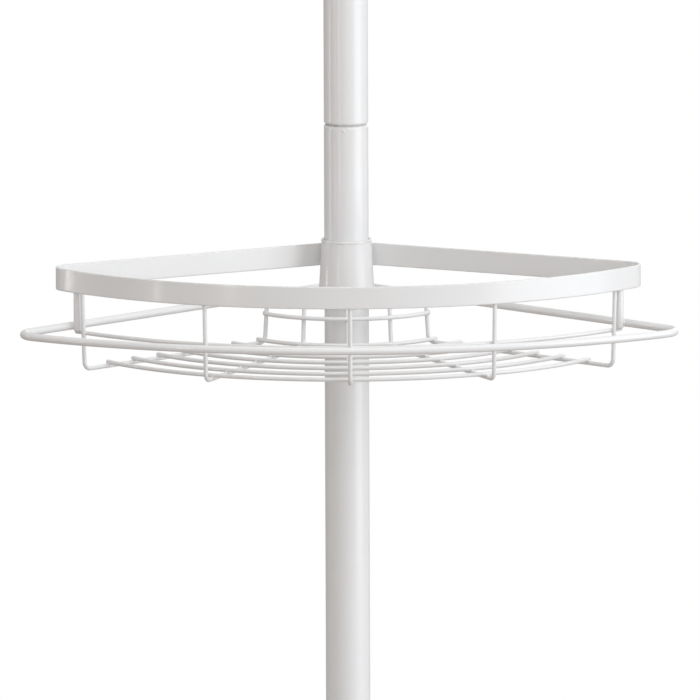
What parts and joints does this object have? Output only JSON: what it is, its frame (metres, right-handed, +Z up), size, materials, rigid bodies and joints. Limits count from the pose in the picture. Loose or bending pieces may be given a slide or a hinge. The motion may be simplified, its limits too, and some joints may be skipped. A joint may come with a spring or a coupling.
{
  "type": "corner shower caddy",
  "caption": "Corner shower caddy: a curved wire shelf with a towel rail around it, wedged on a sprung pole that stands between floor and ceiling.",
  "frame": {"origin": "centre of the foot pad's underside, on the pole's axis, at floor level", "axes": "+Z up along the pole, -Y out of the room's corner towards the user, +X to the user's right"},
  "size_m": [0.3744, 0.2586, 1.507],
  "materials": {
    "pole_enamel": "glossy white enamel on steel tube",
    "wire_enamel": "glossy white coating on steel wire and strip",
    "white_plastic": "white moulded plastic",
    "grip_rubber": "matt grey non-slip rubber",
    "bright_steel": "bright zinc-plated steel"
  },
  "bodies": {
    "foot": {"foot_pad": "grip_rubber", "foot_cup": "white_plastic"},
    "pole": {"base_plug": "white_plastic", "base_tube": "pole_enamel", "upper_tube": "pole_enamel", "guide_bush": "white_plastic", "spring_seat": "white_plastic", "cross_pin": "bright_steel", "tension_spring": "bright_steel"},
    "plunger": {"plunger_plug": "white_plastic", "plunger_tube": "pole_enamel", "ceiling_cup": "white_plastic", "ceiling_pad": "grip_rubber"},
    "collar": {"collar_front": "white_plastic", "collar_back": "white_plastic"},
    "shelf": {"hub_sleeve": "wire_enamel", "rim_band": "wire_enamel", "towel_rail": "wire_enamel", "left_post": "wire_enamel", "right_post": "wire_enamel", "mid_hoop": "wire_enamel", "rear_arc": "wire_enamel", "radial_wire_1": "wire_enamel", "radial_wire_2": "wire_enamel", "radial_wire_3": "wire_enamel", "radial_wire_4": "wire_enamel", "radial_wire_5": "wire_enamel", "floor_arc_1": "wire_enamel", "floor_arc_2": "wire_enamel", "floor_arc_3": "wire_enamel", "floor_arc_4": "wire_enamel", "floor_arc_5": "wire_enamel", "floor_arc_6": "wire_enamel", "floor_arc_7": "wire_enamel"}
  },
  "joints": [
    {"name": "pole_turn", "type": "hinge", "parent": "foot", "child": "pole", "pos_m": [0, 0, 0.012], "axis": [0, 0, 1], "continuous": true},
    {"name": "top_plunge", "type": "slide", "parent": "pole", "child": "plunger", "axis": [0, 0, 1], "range_m": [-0.06, 0], "stiffness_N_per_m": 1550, "springref_m": 0.05, "deforming": ["tension_spring"]},
    {"name": "shelf_height", "type": "slide", "parent": "pole", "child": "collar", "axis": [0, 0, 1], "range_m": [-0.57, 0.42]},
    {"name": "shelf_lift", "type": "slide", "parent": "collar", "child": "shelf", "axis": [0, 0, 1], "range_m": [0, 0.05]}
  ]
}
